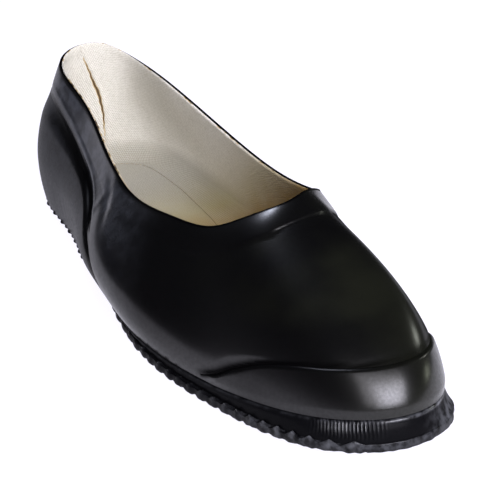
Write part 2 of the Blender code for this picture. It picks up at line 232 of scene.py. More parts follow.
class ShoeSizes(bpy.types.PropertyGroup):
    """Driving sizes of the shoe."""

    length: measure_property("Length", "Feather line from heel to toe", 0.282)
    ball_width: measure_property("Ball width", "Feather line across the ball of the foot", 0.090)
    heel_height: measure_property("Heel height", "Collar over the floor at the heel", 0.0708)
    instep_height: measure_property("Instep height", "Collar over the floor at the throat", 0.0665)
    wall: measure_property("Wall", "Rubber and lining together", 0.002)
    lining: measure_property("Lining", "Thickness of the cotton", 0.0009)
    band_step: measure_property("Band step", "How far the collar band stands off the wall", 0.0006)
    overlay: measure_property("Overlay", "How far toe cap and counter stand off the wall", 0.0015)
    foxing: measure_property("Foxing", "How far the foxing stands off the wall", 0.002)
    tread_depth: measure_property("Tread depth", "Depth of the grooves in the forefoot", 0.002)
    heel_tread_depth: measure_property("Heel tread depth", "Depth of the grooves in the heel", 0.0015)
    tread_ribs: IntProperty(name="Tread ribs", description="Cross ribs of the forefoot", default=24, min=1)
    heel_ribs: IntProperty(name="Heel ribs", description="Cross ribs of the heel", default=15, min=1)
    insole: measure_property("Insole", "Thickness of the inner sole", 0.0025)


class ShoeColours(bpy.types.PropertyGroup):
    """Colours of the rubber, the cotton and the floor."""

    rubber: colour_property("Rubber", "Black of the upper", (0.0005, 0.0004, 0.0006))
    # Olive painted into the black as a sheen on the inner side and top of the forefoot
    rubber_olive: colour_property("Olive rubber", "Black of the upper's inner side", (0.0062, 0.0066, 0.004))
    # Bluish grey round the heel: some dust, and a painted sheen and highlights where the rubber would catch
    # light
    dust: colour_property("Dust", "Bluish grey dust round the heel", (0.07, 0.074, 0.088))
    sole: colour_property("Sole", "Black of the sole", (0.002, 0.002, 0.0026))
    # Grey on the sole's and foxing's edges: some bloom, and painted highlights and reflections
    bloom: colour_property("Bloom", "Grey bloom on the rubber's edges", (0.11, 0.113, 0.125))
    cotton: colour_property("Cotton", "Cream of the lining", (0.90, 0.87, 0.79))
    # Darker cotton: painted shade in the hollows between the threads, and darker blots and specks
    cotton_dark: colour_property("Dark cotton", "Hollows of the weave", (0.50, 0.47, 0.37))
    # Grey cotton low down and at the heel: painted shade, with some soil
    soil: colour_property("Soil", "Grey of worn cotton", (0.27, 0.255, 0.195))
    # Yellow to orange brown towards the throat: painted warm shade under the vamp
    glue: colour_property("Glue", "Yellowed cotton towards the throat", (0.34, 0.265, 0.06))
    glue_dark: colour_property("Dark glue", "Orange brown cotton in the throat itself", (0.27, 0.13, 0.015))
    seam: colour_property("Seam", "Dark slit between two edges of the lining", (0.09, 0.055, 0.025))
    seam_gold: colour_property("Seam edges", "Golden threads on both sides of the slit", (0.50, 0.36, 0.15))
    floor: colour_property("Floor", "Pale floor", (0.14, 0.14, 0.14))


class ShoeStage(bpy.types.PropertyGroup):
    """Camera and lights."""

    azimuth: measure_property("Azimuth", "Camera round the shoe, from along +Y",
                              math.radians(63.854), "ROTATION")
    elevation: measure_property("Elevation", "Camera over the floor", math.radians(27.054), "ROTATION")
    roll: measure_property("Roll", "Camera about its own axis", math.radians(-0.8225), "ROTATION")
    distance: measure_property("Distance", "Camera from its aim", 0.84208)
    aim: FloatVectorProperty(name="Aim", description="Point in the middle of the picture",
                             default=(0.0105, 0.01253, 0.02839), subtype="XYZ", unit="LENGTH")
    lens: measure_property("Lens", "Focal length in millimetres", 146.47, "CAMERA")
    core: measure_property("Core light", "Small light in the key light's middle", 3.7, "POWER")
    key: measure_property("Key light", "Soft light in front of the toe", 19.0, "POWER")
    wide: measure_property("Wide light", "Wide light round the key light", 25.0, "POWER")
    back: measure_property("Back light", "Soft light behind the shoe", 7.0, "POWER")
    side: measure_property("Side light", "Soft light on the inner side", 1.6, "POWER")
    rim: measure_property("Rim light", "Low light past the toe's inner side", 0.8, "POWER")


# The surface of the wall

class Last:
    """The wall's surface, worked out from the driving sizes and the table's rows."""

    def __init__(self, sizes):
        self.sizes = sizes
        values = np.array([row[1:] for row in WALL_TABLE], float)
        from_heel = 1 - np.abs(1 - np.arange(ROWS) / TOE_ROW)
        level = sizes.heel_height + (sizes.instep_height - sizes.heel_height) * from_heel
        values[:, [0, 2]] *= sizes.length / 100
        values[:, [1, 3]] *= sizes.ball_width / 100
        values[:, 4] *= level / 100
        values[:, 5:] *= MM
        after = np.roll(np.eye(ROWS), 1, 0)
        change = 3 * (np.roll(values, -1, 0) - np.roll(values, 1, 0))
        self.values = values
        self.slopes = np.linalg.solve(4 * np.eye(ROWS) + after + after.T, change)

    def columns(self, row):
        """The table's columns at any place round the shoe, from a smooth closed curve through its rows."""
        k = np.floor(row).astype(int)
        t = (row - k)[:, None]
        here, ahead = k % ROWS, (k + 1) % ROWS
        blend = self.values[here] + (self.values[ahead] - self.values[here]) * t * t * (3 - 2 * t)
        bend = self.slopes[here] * (1 - t) - self.slopes[ahead] * t
        return dict(zip(WALL_COLUMNS, (blend + t * (1 - t) * bend).T))

    def seat(self, x):
        """Height of the feather line over the floor."""
        share = x / self.sizes.length
        arch = (ARCH_SEAT - HEEL_SEAT) * smooth_step(share, HEEL_SEAT_END, ARCH_START)
        ball = (BALL_SEAT - ARCH_SEAT) * smooth_step(share, ARCH_END, BALL_START)
        spring = TOE_SPRING * np.clip((share - SPRING_START) / (1 - SPRING_START), 0, None) ** 2
        return HEEL_SEAT + arch + ball + spring

    def outward(self, row, loop):
        """Outward direction of the feather line or the collar at each place."""
        before, after = self.columns(row - ROW_STEP), self.columns(row + ROW_STEP)
        along_x = after[loop + "_x"] - before[loop + "_x"]
        along_y = after[loop + "_y"] - before[loop + "_y"]
        length = np.hypot(along_x, along_y)
        return along_y / length, -along_x / length

    def feather(self, row, reach=0.0):
        """Points of the feather line, moved outward by a reach."""
        c = self.columns(row)
        out_x, out_y = self.outward(row, "foot")
        x, y = c["foot_x"] + out_x * reach, c["foot_y"] + out_y * reach
        return np.stack([x, y, self.seat(c["foot_x"])], axis=1)

    def controls(self, row):
        """The four control points of the profile at each place round the shoe."""
        c = self.columns(row)
        foot = np.array([c["foot_x"], c["foot_y"], self.seat(c["foot_x"])])
        collar = np.array([c["collar_x"], c["collar_y"], c["collar_z"]])
        foot_x, foot_y = self.outward(row, "foot")
        collar_x, collar_y = self.outward(row, "collar")
        leave = np.array([c["bulge"] * foot_x, c["bulge"] * foot_y, c["rise"]])
        arrive = np.array([c["reach"] * collar_x, c["reach"] * collar_y, -c["drop"]])
        return [p.T[:, None] for p in (foot, foot + leave, collar + arrive, collar)]

    def surface(self, row, share):
        """Points of the wall's own surface."""
        foot, low, high, collar = self.controls(row)
        v = share[..., None]
        w = 1 - v
        return w ** 3 * foot + 3 * w ** 2 * v * low + 3 * w * v ** 2 * high + v ** 3 * collar

    def wall(self, row, share, offset):
        """Points off the wall's surface by an offset: share runs from the feather line to the collar."""
        foot, low, high, collar = self.controls(row)
        v = share[..., None]
        up = (1 - v) ** 2 * (low - foot) + 2 * (1 - v) * v * (high - low) + v ** 2 * (collar - high)
        normal = np.cross(self.surface(row + ROW_STEP, share) - self.surface(row - ROW_STEP, share), up)
        normal /= np.linalg.norm(normal, axis=2)[..., None]
        return self.surface(row, share) + normal * np.broadcast_to(offset, share.shape)[..., None]

    def runs(self, row):
        """Shares up the wall and the heights along it that they have."""
        fine = np.linspace(0, 1, 81)
        return fine, way(self.surface(row, np.tile(fine, (len(row), 1))), 1)

    def length(self, row):
        """Length of the wall from the feather line to the collar."""
        return self.runs(row)[1][:, -1:]

    def share_at(self, row, height):
        """Share up the wall at heights along it, a list of them for each place."""
        fine, runs = self.runs(row)
        return np.array([np.interp(h, run, fine) for h, run in zip(height, runs)])


def rows_from_toe(row):
    """Rows between a place and the toe tip."""
    return np.abs(row - TOE_ROW)


def rows_from_heel(row):
    """Rows between a place and the heel back, drawn out on the inner side, where the counter is shorter."""
    row = row % ROWS
    return np.where(row < TOE_ROW, row, (ROWS - row) / COUNTER_INNER_SHARE)


def inner_side(row):
    """One on the inner side of the forefoot, where an olive sheen is painted on the rubber."""
    return span(row % ROWS, *INNER_ROWS)


def counter_edge(row, length):
    """Height of the counter's edge up a wall of the given length, kept under the collar band."""
    line = smooth_line(COUNTER_LINE, rows_from_heel(row)) * MM
    under_band = length - COUNTER_CLEAR
    return -EDGE_BLEND * np.log(np.exp(-line / EDGE_BLEND) + np.exp(-under_band / EDGE_BLEND))


def counter_distance(row, height, below):
    """Distance in front of the counter's edge, along the wall."""
    away, nudge = rows_from_heel(row), 0.05
    rise = (smooth_line(COUNTER_LINE, away + nudge) - smooth_line(COUNTER_LINE, away - nudge)) * MM
    slope = rise / (2 * nudge * ROW_RUN)
    return (height - counter_edge(row, height + below)) / np.sqrt(1 + slope ** 2)


def groove_depth(row, below):
    """Depth of the groove in front of the counter in millimetres, fading out close to the collar."""
    return smooth_line(GROOVE_DEPTH, rows_from_heel(row)) * smooth_step(below, *GROOVE_START)


def groove_ridge(row, gap):
    """One on the low ridge in front of the groove."""
    return bell(gap, RIDGE_MIDDLE, RIDGE_WIDTH) * span(rows_from_heel(row), *RIDGE_ROWS)


def lip_reach(row):
    """How far the sole's lip stands out past the sole's own reach."""
    return smooth_line(LIP_LINE, row % ROWS) * MM


def lip_point(row):
    """One at the inner corner of the toe, where the lip ends in a point."""
    return span(row % ROWS, *LIP_POINT_ROWS)


def over_cap(row, height):
    """Distance up the wall from the toe cap's edge."""
    return height - smooth_line(CAP_LINE, rows_from_toe(row)) * MM


def cap_groove(row, height):
    """Small trough over the toe cap's edge, deepest at the cap's outer end."""
    outer_end = bell(row, TOE_ROW - 1.85, 0.45)
    depth = (0.18 + 0.95 * outer_end) * MM * fall(rows_from_toe(row), *CAP_GROOVE_END)
    return -depth * bell(over_cap(row, height), 0.9 * MM, (0.9 + 1.3 * outer_end) * MM)


def wall_relief(row, height, below, step):
    """How far the upper stands off the wall's surface: collar band, grooves at the overlays, creases."""
    show = smooth_line(BAND_SHOW, rows_from_toe(row % ROWS))
    width = smooth_line(BAND_LINE, rows_from_toe(row % ROWS)) * MM
    band = step * show * smooth_step(width - below, -0.5 * MM, 0.5 * MM)
    crown = (0.1 + 0.35 * show) * MM * np.clip(1 - (2 * below / width - 1) ** 2, 0, 1)
    gap = counter_distance(row, height, below)
    depth = groove_depth(row, below) * MM
    groove = RIDGE_HEIGHT * groove_ridge(row, gap) - depth * bell(gap, GROOVE_MIDDLE, GROOVE_WIDTH + depth)
    relief = band + crown + groove + cap_groove(row, height)
    for _, place, rise, turn, length, width, ridge in CREASES:
        along = ((row - place + TOE_ROW) % ROWS - TOE_ROW) * ROW_RUN
        up = height - rise * MM
        c, s = math.cos(math.radians(turn)), math.sin(math.radians(turn))
        across = bell(c * up - s * along, 0, width * MM / 2)
        relief = relief + ridge * MM * bell(c * along + s * up, 0, length * MM / 2) * across
    return relief


# Meshes

def even_rows(last, step, start=0.0, end=float(ROWS)):
    """Rows spaced evenly along the feather line."""
    row = np.arange(start, end + ROW_STEP / 2, ROW_STEP)
    run = way(last.feather(row)[:, :2])
    count = int(run[-1] / step)
    return np.interp(np.linspace(0, run[-1], count + 1), run, row)


def two_edges(ring):
    """A ring of points round the shoe as its outer and its inner edge, both from heel to toe."""
    heel, toe = np.argmin(ring[:, 0]), np.argmax(ring[:, 0])
    turn = np.roll(np.arange(len(ring)), -heel)
    count = (toe - heel) % len(ring)
    return ring[turn[:count + 1]], ring[np.append(turn[count:], turn[0])[::-1]]


def across(edges, x, count):
    """So many places across the shoe at each x, from its outer to its inner edge."""
    outer, inner = (np.interp(x, edge[:, 0], edge[:, 1])[:, None] for edge in edges)
    return outer + (inner - outer) * np.linspace(0, 1, count)[None]


def loft(name, sections, closed, values):
    """Mesh through a run of like closed sections, as a ring of them or with a cap at each end."""
    count, size = sections.shape[:2]
    spans = count if closed else count - 1
    here = np.arange(spans)[:, None] * size
    after = (np.arange(spans)[:, None] + 1) % count * size
    k = np.arange(size)[None]
    step = (k + 1) % size
    faces = np.stack([here + k, after + k, after + step, here + step], axis=2).reshape(-1, 4).tolist()
    if not closed:
        faces += [list(range(size)), list(range((count - 1) * size, count * size))]
    mesh = bpy.data.meshes.new(name)
    mesh.from_pydata((sections.reshape(-1, 3) - ORIGIN).tolist(), [], faces)
    build = bmesh.new()
    build.from_mesh(mesh)
    bmesh.ops.recalc_face_normals(build, faces=build.faces)
    build.to_mesh(mesh)
    build.free()
    mesh.shade_smooth()
    for key, value in values.items():
        layer = mesh.attributes.new(key, "FLOAT", "POINT")
        layer.data.foreach_set("value", np.broadcast_to(value, (count, size)).astype(np.float32).ravel())
    return mesh


def add_piece(mesh, material, node, sharp):
    """Object of a finished mesh, riding on the shoe's one body."""
    mesh.set_sharp_from_angle(angle=math.radians(sharp))
    piece = bpy.data.objects.new(mesh.name, mesh)
    bpy.context.scene.collection.objects.link(piece)
    mesh.materials.append(material)
    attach(piece, BODY)
    if node:
        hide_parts(node)
    return piece


# Shader maths

class Wire:
    """A node's output, so that sums of values are written as plain Python."""

    def __init__(self, paint, socket):
        self.paint = paint
        self.socket = socket

    def __add__(self, other):
        return self.paint.maths("ADD", self, other)

    def __sub__(self, other):
        return self.paint.maths("SUBTRACT", self, other)

    def __rsub__(self, other):
        return self.paint.maths("SUBTRACT", other, self)

    def __mul__(self, other):
        return self.paint.maths("MULTIPLY", self, other)

    def __truediv__(self, other):
        return self.paint.maths("DIVIDE", self, other)

    __radd__ = __add__
    __rmul__ = __mul__


class Paint:
    """Node tree of one material."""

    def __init__(self, name):
        self.material = bpy.data.materials.new(name)
        self.material.use_nodes = True
        self.tree = self.material.node_tree
        self.shader = self.tree.nodes["Principled BSDF"]

    def node(self, kind, settings=None, out=0, **sockets):
        """Adds a node: its settings first, then its sockets' values or links, with _ for a space."""
        made = self.tree.nodes.new(kind)
        for key, value in (settings or {}).items():
            setattr(made, key, value)
        for key, value in sockets.items():
            self.feed(next(s for s in made.inputs if s.identifier.replace(" ", "_") == key), value)
        if isinstance(out, str):
            return Wire(self, next(s for s in made.outputs if out in (s.identifier, s.name)))
        return Wire(self, made.outputs[out])

    def feed(self, socket, value):
        """Links a wire to a socket, or sets its value."""
        if isinstance(value, Wire):
            self.tree.links.new(value.socket, socket)
        elif socket.type == "RGBA" and len(value) == 3:
            socket.default_value = (*value, 1.0)
        else:
            socket.default_value = value

    def set(self, **sockets):
        """Feeds the shader's own sockets, with _ for a space in their names."""
        for key, value in sockets.items():
            self.feed(self.shader.inputs[key.replace("_", " ")], value)

    def maths(self, operation, first, second):
        """Math node on two values."""
        return self.node("ShaderNodeMath", {"operation": operation}, Value=first, Value_001=second)

    def clamp(self, value):
        """Value kept between zero and one."""
        return self.node("ShaderNodeClamp", Value=value)

    def ramp(self, value, start, end):
        """Smooth ramp from zero at start to one at end."""
        return self.node("ShaderNodeMapRange", {"interpolation_type": "SMOOTHSTEP"}, out="Result",
                         Value=value, From_Min=start, From_Max=end)

    def mix(self, factor, first, second):
        """Blend of two colours."""
        return self.node("ShaderNodeMix", {"data_type": "RGBA"}, out="Result_Color",
                         Factor_Float=factor, A_Color=first, B_Color=second)

    def number(self, name):
        """A value that the mesh holds at its points."""
        return self.node("ShaderNodeAttribute", {"attribute_name": name}, out="Fac")

    def place(self):
        """Position on the shoe in metres."""
        return self.node("ShaderNodeTexCoord", out="Object")

    def noise(self, scale, detail):
        """Cloudy noise with so many blots to a metre."""
        return self.node("ShaderNodeTexNoise", out="Fac", Vector=self.place(), Scale=scale, Detail=detail)

    def bump(self, height, distance):
        """Normal of a fine relief of the given height."""
        return self.node("ShaderNodeBump", Height=height, Distance=distance)


def dipped_rubber(colours):
    """Dipped black rubber with a satin gloss, a painted olive sheen on the inner side and top of the
    forefoot, and dull at the heel, which is bluish grey with dust and a painted sheen.
    """
    paint = Paint("dipped_rubber")
    clouds = paint.ramp(paint.noise(22.0, 3.0), 0.3, 0.7)
    smears = paint.noise(60.0, 4.0)
    mottle = paint.ramp(paint.noise(170.0, 4.0), 0.35, 0.7)
    grain = paint.ramp(paint.noise(900.0, 4.0), 0.35, 0.65)
    dull = paint.number("dull")
    # Painted olive sheen, in clouds, where the mesh holds it
    black = paint.mix(paint.clamp(paint.number("olive") * clouds), colours.rubber, colours.rubber_olive)
    # Bluish grey over the black, mottled: dust and a painted sheen
    paint.set(
        Base_Color=paint.mix(paint.clamp(paint.number("dust") * (0.4 + 0.6 * mottle)), black, colours.dust),
        Roughness=paint.clamp(0.5 + 0.1 * smears + 0.35 * dull),
        Coat_Weight=paint.clamp((0.72 + 0.2 * smears + 0.18 * grain) * (1 - dull)),
        Normal=paint.bump(0.8 * paint.noise(450.0, 3.0) + paint.noise(1400.0, 2.0), GRAIN_RELIEF),
        Specular_IOR_Level=0.02,
        Coat_Roughness=0.25,
        Coat_IOR=1.5,
    )
    return paint.material


def moulded_rubber(colours):
    """Moulded black rubber, duller than the upper, with a grey bloom and painted highlights on its edges."""
    paint = Paint("moulded_rubber")
    grain = paint.noise(900.0, 4.0)
    # Grey of bloom and painted highlights, broken up by noise
    bloom = paint.clamp(paint.number("bloom") * paint.ramp(paint.noise(300.0, 5.0), 0.35, 0.68))
    paint.set(
        Base_Color=paint.mix(bloom, colours.sole, colours.bloom),
        Roughness=paint.clamp(0.45 + 0.2 * grain),
        Coat_Weight=paint.clamp(paint.number("gloss") * (0.6 + 0.8 * grain)),
        Normal=paint.bump(grain + 0.6 * paint.noise(2600.0, 2.0), GRAIN_RELIEF),
        Specular_IOR_Level=0.03,
        Coat_Roughness=0.2,
    )
    return paint.material


def cotton_twill(colours):
    """Cream twill: ridges of thread with painted shade between them, fuzz, painted shade with some grey soil
    low down and at the heel, painted warm shade towards the throat, brown in the seams.
    """
    paint = Paint("cotton_twill")
    along, up = paint.number("along"), paint.number("up")
    fuzz = paint.noise(700.0, 4.0)
    warp = paint.maths("SINE", 2 * math.pi * ((along + 0.55 * up) / WARP_PITCH + 0.9 * fuzz), 0.0)
    weft = paint.maths("SINE", 2 * math.pi * ((up - 0.3 * along) / WEFT_PITCH + 0.7 * fuzz), 0.0)
    thread = paint.clamp(0.5 + 0.34 * warp + 0.22 * weft)
    blots = paint.noise(45.0, 5.0)
    specks = paint.ramp(paint.noise(500.0, 4.0), 0.55, 0.8)
    throat, seam = paint.number("throat"), paint.number("seam")
    mottle = paint.ramp(paint.noise(900.0, 3.0), 0.35, 0.65)
    # Cream with painted shade in the weave's hollows, darker blots and specks
    clean = paint.clamp(0.7 * thread + 0.5 * blots - 0.2 * specks + 0.22 * mottle - 0.01)
    cream = paint.mix(clean, colours.cotton_dark, colours.cotton)
    # Painted shade, with some grey soil, low down and at the heel
    worn_and_shaded = paint.mix(paint.clamp(paint.number("soil") * (1.2 - 0.4 * thread)), cream, colours.soil)
    # Painted warm shade towards the throat, yellow and, deepest in, orange brown
    glue = paint.mix(paint.clamp(1.8 * throat - 1.1), colours.glue, colours.glue_dark)
    throat_shaded = paint.mix(paint.clamp(throat * (0.55 + 0.9 * blots)), worn_and_shaded, glue)
    edged = paint.mix(paint.ramp(seam, 0.04, 0.4), throat_shaded, colours.seam_gold)
    paint.set(
        Base_Color=paint.mix(paint.ramp(seam, 0.3, 0.7), edged, colours.seam),
        Roughness=0.92,
        Normal=paint.bump(thread + 0.6 * fuzz, WEAVE_RELIEF),
        Specular_IOR_Level=0.2,
        Sheen_Weight=0.15,
    )
    return paint.material


def floor_paint(colours):
    """Pale matt floor that glows a little, as a lit table does."""
    paint = Paint("pale_floor")
    paint.set(
        Base_Color=colours.floor,
        Roughness=0.9,
        Emission_Color=(0.9, 0.885, 1.0),
        Emission_Strength=1.06,
    )
    return paint.material


def shared_material(make, *parts):
    """Material that several pieces share, made once."""
    found = bpy.data.materials.get(make.__name__)
    return found or make(*parts)


# Pieces

class ShoePiece:
    """What every operator of a piece needs: the sizes, the colours and the last."""

    bl_options = {"REGISTER", "UNDO"}

    def prepare(self, context):
        """Reads the sizes and colours, and works out the last."""
        self.sizes = context.scene.shoe_sizes
        self.colours = context.scene.shoe_colours
        self.last = Last(self.sizes)


class SHOE_OT_upper(ShoePiece, bpy.types.Operator):
    """Makes the hollow rubber upper with its collar band, rim, groove and creases"""

    bl_idname = "shoe.upper"
    bl_label = "Upper"

    # Steps of the mesh: round the shoe, up the wall, up the collar zone, down the inside and over the rim
    ROUND, UP, ZONE_UP, INSIDE, OVER_RIM = 760, 52, 25, 13, 9
    ZONE = 12 * MM
    RIM_RISE = 0.7 * MM

    def execute(self, context):
        self.prepare(context)
        sizes, last = self.sizes, self.last
        row = np.arange(self.ROUND) * ROWS / self.ROUND
        height, share, below = self.grid(row)
        outer = last.wall(row, share, wall_relief(row[:, None], height, below, sizes.band_step))
        inside = np.tile(np.linspace(1, 0, self.INSIDE), (len(row), 1))
        inner = last.wall(row, inside, sizes.lining - sizes.wall)
        sections = np.concatenate([outer, self.rim(outer[:, -1:], inner[:, :1]), inner], axis=1)
        values = self.finish(np.broadcast_to(row[:, None], height.shape), height, below)
        rest = ((0, 0), (0, sections.shape[1] - height.shape[1]))
        for key, value in values.items():
            values[key] = np.pad(value, rest, constant_values=float(key == "dull"))
        mesh = loft("upper_shell", sections, True, values)
        add_piece(mesh, shared_material(dipped_rubber, self.colours), "upper", SHARP_RUBBER)
        return {"FINISHED"}

    def grid(self, row):
        """Heights up the wall, close in the collar zone, with their shares and ways under the collar."""
        length = self.last.length(row)
        lower = np.linspace(0, 1, self.UP, endpoint=False)[None] * (length - self.ZONE)
        upper = length - self.ZONE + np.linspace(0, 1, self.ZONE_UP)[None] * self.ZONE
        height = np.hstack([lower, upper])
        return height, self.last.share_at(row, height), length - height

    def rim(self, edge, start):
        """Rounded rim from the outer face's edge to the start of the inner face."""
        turn = np.linspace(0, np.pi, self.OVER_RIM)[1:-1][None, :, None]
        rim = (edge + start) / 2 + (edge - start) / 2 * np.cos(turn)
        rim[..., 2] += self.RIM_RISE * np.sin(turn[..., 0])
        return rim

    @staticmethod
    def finish(row, height, below):
        """Where the rubber is dull, where an olive sheen is painted, and where it is bluish grey with dust
        and a painted sheen: the groove at the counter is dull and clean.
        """
        gap = counter_distance(row, height, below)
        heel_side = fall(rows_from_heel(row), 3.0, 5.0)
        depth = groove_depth(row, below)
        groove = bell(gap, 1.4 * MM, (1.0 + 1.8 * depth) * MM) * np.clip(1.3 * depth, 0, 1)
        rim = fall(below, 0.3 * MM, 1.1 * MM)
        side = 0.4 * bell(row, 4.9, 0.6) * fall(height, 22 * MM, 32 * MM)
        inner_vamp = span(row, 8.3, 9.0, 11.5, 12.5) * smooth_step(below, 11 * MM, 14 * MM)
        # Top of the vamp, where the rubber is a little duller and an olive sheen is painted
        top_vamp = bell(row, TOE_ROW, 1.3) * smooth_step(height, 40 * MM, 55 * MM)
        top_vamp = top_vamp * smooth_step(below, 12 * MM, 16 * MM)
        cap_line = bell(over_cap(row, height), 0.8 * MM, 1.8 * MM)
        cap_line = cap_line * fall(rows_from_toe(row), *CAP_GROOVE_END)
        # Bluish grey in front of the counter, more of it higher up and none at the groove or the rim: dust
        # and a painted sheen
        dust_and_sheen_amount = 0.25 + 0.4 * smooth_step(height, 26 * MM, 40 * MM)
        dust = dust_and_sheen_amount * heel_side * smooth_step(gap, 3 * MM, 7 * MM) * smooth_step(below, 0.8 * MM, 2.5 * MM)
        dull = [groove, rim, 0.4 * heel_side, side, inner_vamp, 0.3 * top_vamp, cap_line]
        # The bluish grey also holds a painted highlight on the low ridge in front of the groove
        return {
            "dull": np.maximum.reduce(dull),
            "olive": np.maximum(inner_side(row), top_vamp),
            "dust": np.maximum(dust, 0.85 * groove_ridge(row, gap)),
        }


class SHOE_OT_overlays(ShoePiece, bpy.types.Operator):
    """Makes the toe cap and the counter, which lie on the wall with soft edges"""

    bl_idname = "shoe.overlays"
    bl_label = "Toe cap and counter"

    STEP = 0.8 * MM
    # Steps up the cap and the counter, their shares of the overlay's thickness and how long their ends thin
    CAP_UP, CAP_SHARE, CAP_TAPER = 44, 0.65, 12 * MM
    COUNTER_UP, COUNTER_SHARE, COUNTER_TAPER = 60, 0.8, 24 * MM
    CAP_EDGE = 2.0 * MM
    # How far the thinned edge stands off, how deep the back lies, and the height over which the foot thins
    SKIN, TUCK, FOOT = 0.06 * MM, 0.4 * MM, 3.5 * MM
    # Counter's skirt: where it leaves the wall, its hem over the floor, and its reach at hem and middle
    SKIRT_START, SKIRT_HEM = 15 * MM, 1.6 * MM
    HEM_REACH, BOW_REACH = 0.5 * MM, 1.1 * MM

    def execute(self, context):
        self.prepare(context)
        self.toe_cap()
        self.counter()
        return {"FINISHED"}

    def toe_cap(self):
        """Toe cap, from the foxing up to its edge over the toes."""
        row = even_rows(self.last, self.STEP, TOE_ROW - CAP_HALF, TOE_ROW + CAP_HALF)
        low = smooth_line(FOXING_LINE, rows_from_toe(row)) * MM + 0.2 * MM
        high = np.maximum(smooth_line(CAP_LINE, rows_from_toe(row)) * MM, low + 0.6 * MM)
        edge = np.full(len(row), self.CAP_EDGE)
        front, back, to_edge = self.strip(row, low, high, self.CAP_UP, edge, self.CAP_SHARE, self.CAP_TAPER)
        outer_end = 0.35 * bell(row, TOE_ROW - 1.7, 0.5)[:, None]
        dull = np.maximum(bell(to_edge, 0, 1.2 * MM), outer_end)
        # Painted olive sheen on the cap's inner side
        finish = {"dull": dull, "olive": inner_side(row)[:, None], "dust": 0.0}
        self.add_strip("toe_cap_rubber", "toe_cap", front, back, finish)

    def counter(self):
        """Counter round the heel, with its skirt over the edge of the sole."""
        last, half = self.last, COUNTER_HALF + 0.03
        row = even_rows(last, self.STEP, -half * COUNTER_INNER_SHARE, half)
        away = rows_from_heel(row)
        high = counter_edge(row, last.length(row)[:, 0])
        edge = (3.6 + 9 * fall(away, 1.1, 2.9)) * MM
        front, back, to_edge = self.strip(row, np.zeros(len(row)), high, self.COUNTER_UP, edge,
                                          self.COUNTER_SHARE, self.COUNTER_TAPER)
        self.drop_skirt(row, front, to_edge)
        groove = np.clip(1.3 * smooth_line(GROOVE_DEPTH, away), 0, 1)[:, None]
        dull = np.maximum(bell(to_edge, 0, 2.4 * MM) * groove, 0.72)
        # Bluish grey on the counter away from its edge: dust and a painted sheen, with more near the top of
        # the heel as a painted highlight
        heel_top = fall(away, 0.9, 1.9)[:, None] * fall(to_edge, 5 * MM, 14 * MM)
        dust = np.maximum(0.16 * smooth_step(to_edge, 2 * MM, 8 * MM), 0.4 * heel_top)
        finish = {"dull": dull, "olive": 0.0, "dust": dust}
        self.add_strip("counter_rubber", "counter", front, back, finish)

    def strip(self, row, low, high, steps, edge, thick, taper):
        """Front and back of rubber on the wall between two heights, thinning out over its edges and ends."""
        last = self.last
        share = 1 - (1 - np.linspace(0, 1, steps)[None]) ** 1.5
        height = low[:, None] + (high - low)[:, None] * share
        to_edge = high[:, None] - height
        ends = np.minimum(row - row[0], row[-1] - row)[:, None] * ROW_RUN
        roll = np.sin(np.clip(to_edge / edge[:, None], 0, 1) * np.pi / 2)
        feathered = smooth_step(edge, 4 * MM, 10 * MM)[:, None]
        thickness = (roll + (roll ** 2 - roll) * feathered) * smooth_step(ends, 0, taper)
        thickness = thickness * (0.4 + 0.6 * smooth_step(height - low[:, None], 0, self.FOOT))
        relief = wall_relief(row[:, None], height, last.length(row) - height, self.sizes.band_step)
        places = last.share_at(row, height)
        full = thick * self.sizes.overlay - self.SKIN
        front = last.wall(row, places, relief + self.SKIN + full * thickness)
        back = last.wall(row, places, relief - self.TUCK)
        for face in (front, back):
            face[..., 2] = np.maximum(face[..., 2], last.seat(face[..., 0]))
        return front, back, to_edge

    def drop_skirt(self, row, front, to_edge):
        """Draws the counter's foot down over the edge of the sole, as far as the ends of the heel's ribs."""
        last, sizes = self.last, self.sizes
        height = to_edge[:, :1] - to_edge
        index = np.argmin(np.abs(height - self.SKIRT_START), axis=1)
        along = last.feather(row)[:, 0] / sizes.length
        reach = smooth_line(SOLE_REACH, along) * MM
        hem = last.feather(row, reach + self.HEM_REACH)
        hem[:, 2] = self.SKIRT_HEM
        share = fall(along, HEEL_BREAST - 0.035, HEEL_BREAST + 0.005)
        for k in np.flatnonzero(share > 0):
            top = front[k, index[k]]
            t = np.linspace(0, 1, index[k] + 1)[:, None]
            bow = last.feather(row[k:k + 1], reach[k] + self.BOW_REACH)[0] - hem[k]
            bow[2] = 0
            drop = hem[k] + (top - hem[k]) * t + bow * 4 * t * (1 - t)
            front[k, :index[k] + 1] += (drop - front[k, :index[k] + 1]) * share[k]

    def add_strip(self, name, node, front, back, finish):
        """Piece of a strip's two faces, with the finish of its front."""
        sections = np.concatenate([front, back[:, ::-1]], axis=1)
        plain = np.zeros(back.shape[:2])
        for key, value in finish.items():
            finish[key] = np.hstack([np.broadcast_to(value, plain.shape), plain])
        mesh = loft(name, sections, False, finish)
        add_piece(mesh, shared_material(dipped_rubber, self.colours), node, SHARP_RUBBER)


